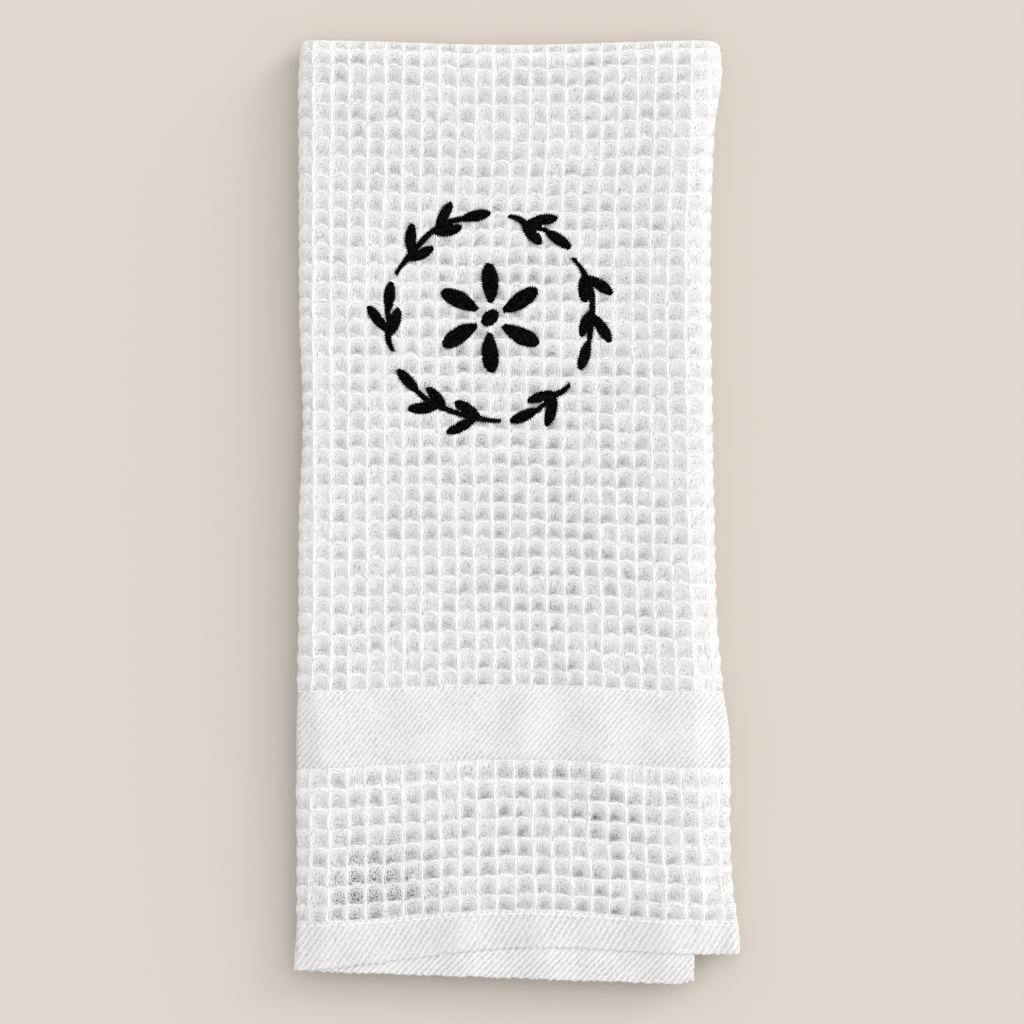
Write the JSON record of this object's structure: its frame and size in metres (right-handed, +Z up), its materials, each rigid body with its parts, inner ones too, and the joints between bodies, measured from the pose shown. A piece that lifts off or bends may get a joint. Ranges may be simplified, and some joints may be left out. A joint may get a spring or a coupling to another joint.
{
  "type": "folded waffle kitchen towel",
  "caption": "Waffle-weave kitchen towel with plain twill bands and turned hems, folded lengthwise and then crosswise, lying flat.",
  "frame": {"origin": "on the surface the towel lies on, below the middle of the folded towel's outline", "axes": "+X across the towel to the right, +Y along it towards the crosswise fold, +Z up out of the surface"},
  "size_m": [0.1682, 0.354, 0.0147],
  "materials": {
    "cotton": "matt bleached cotton",
    "embroidery_thread": "soft sheen of black embroidery thread"
  },
  "bodies": {
    "root": {"towel": "cotton"}
  },
  "joints": []
}
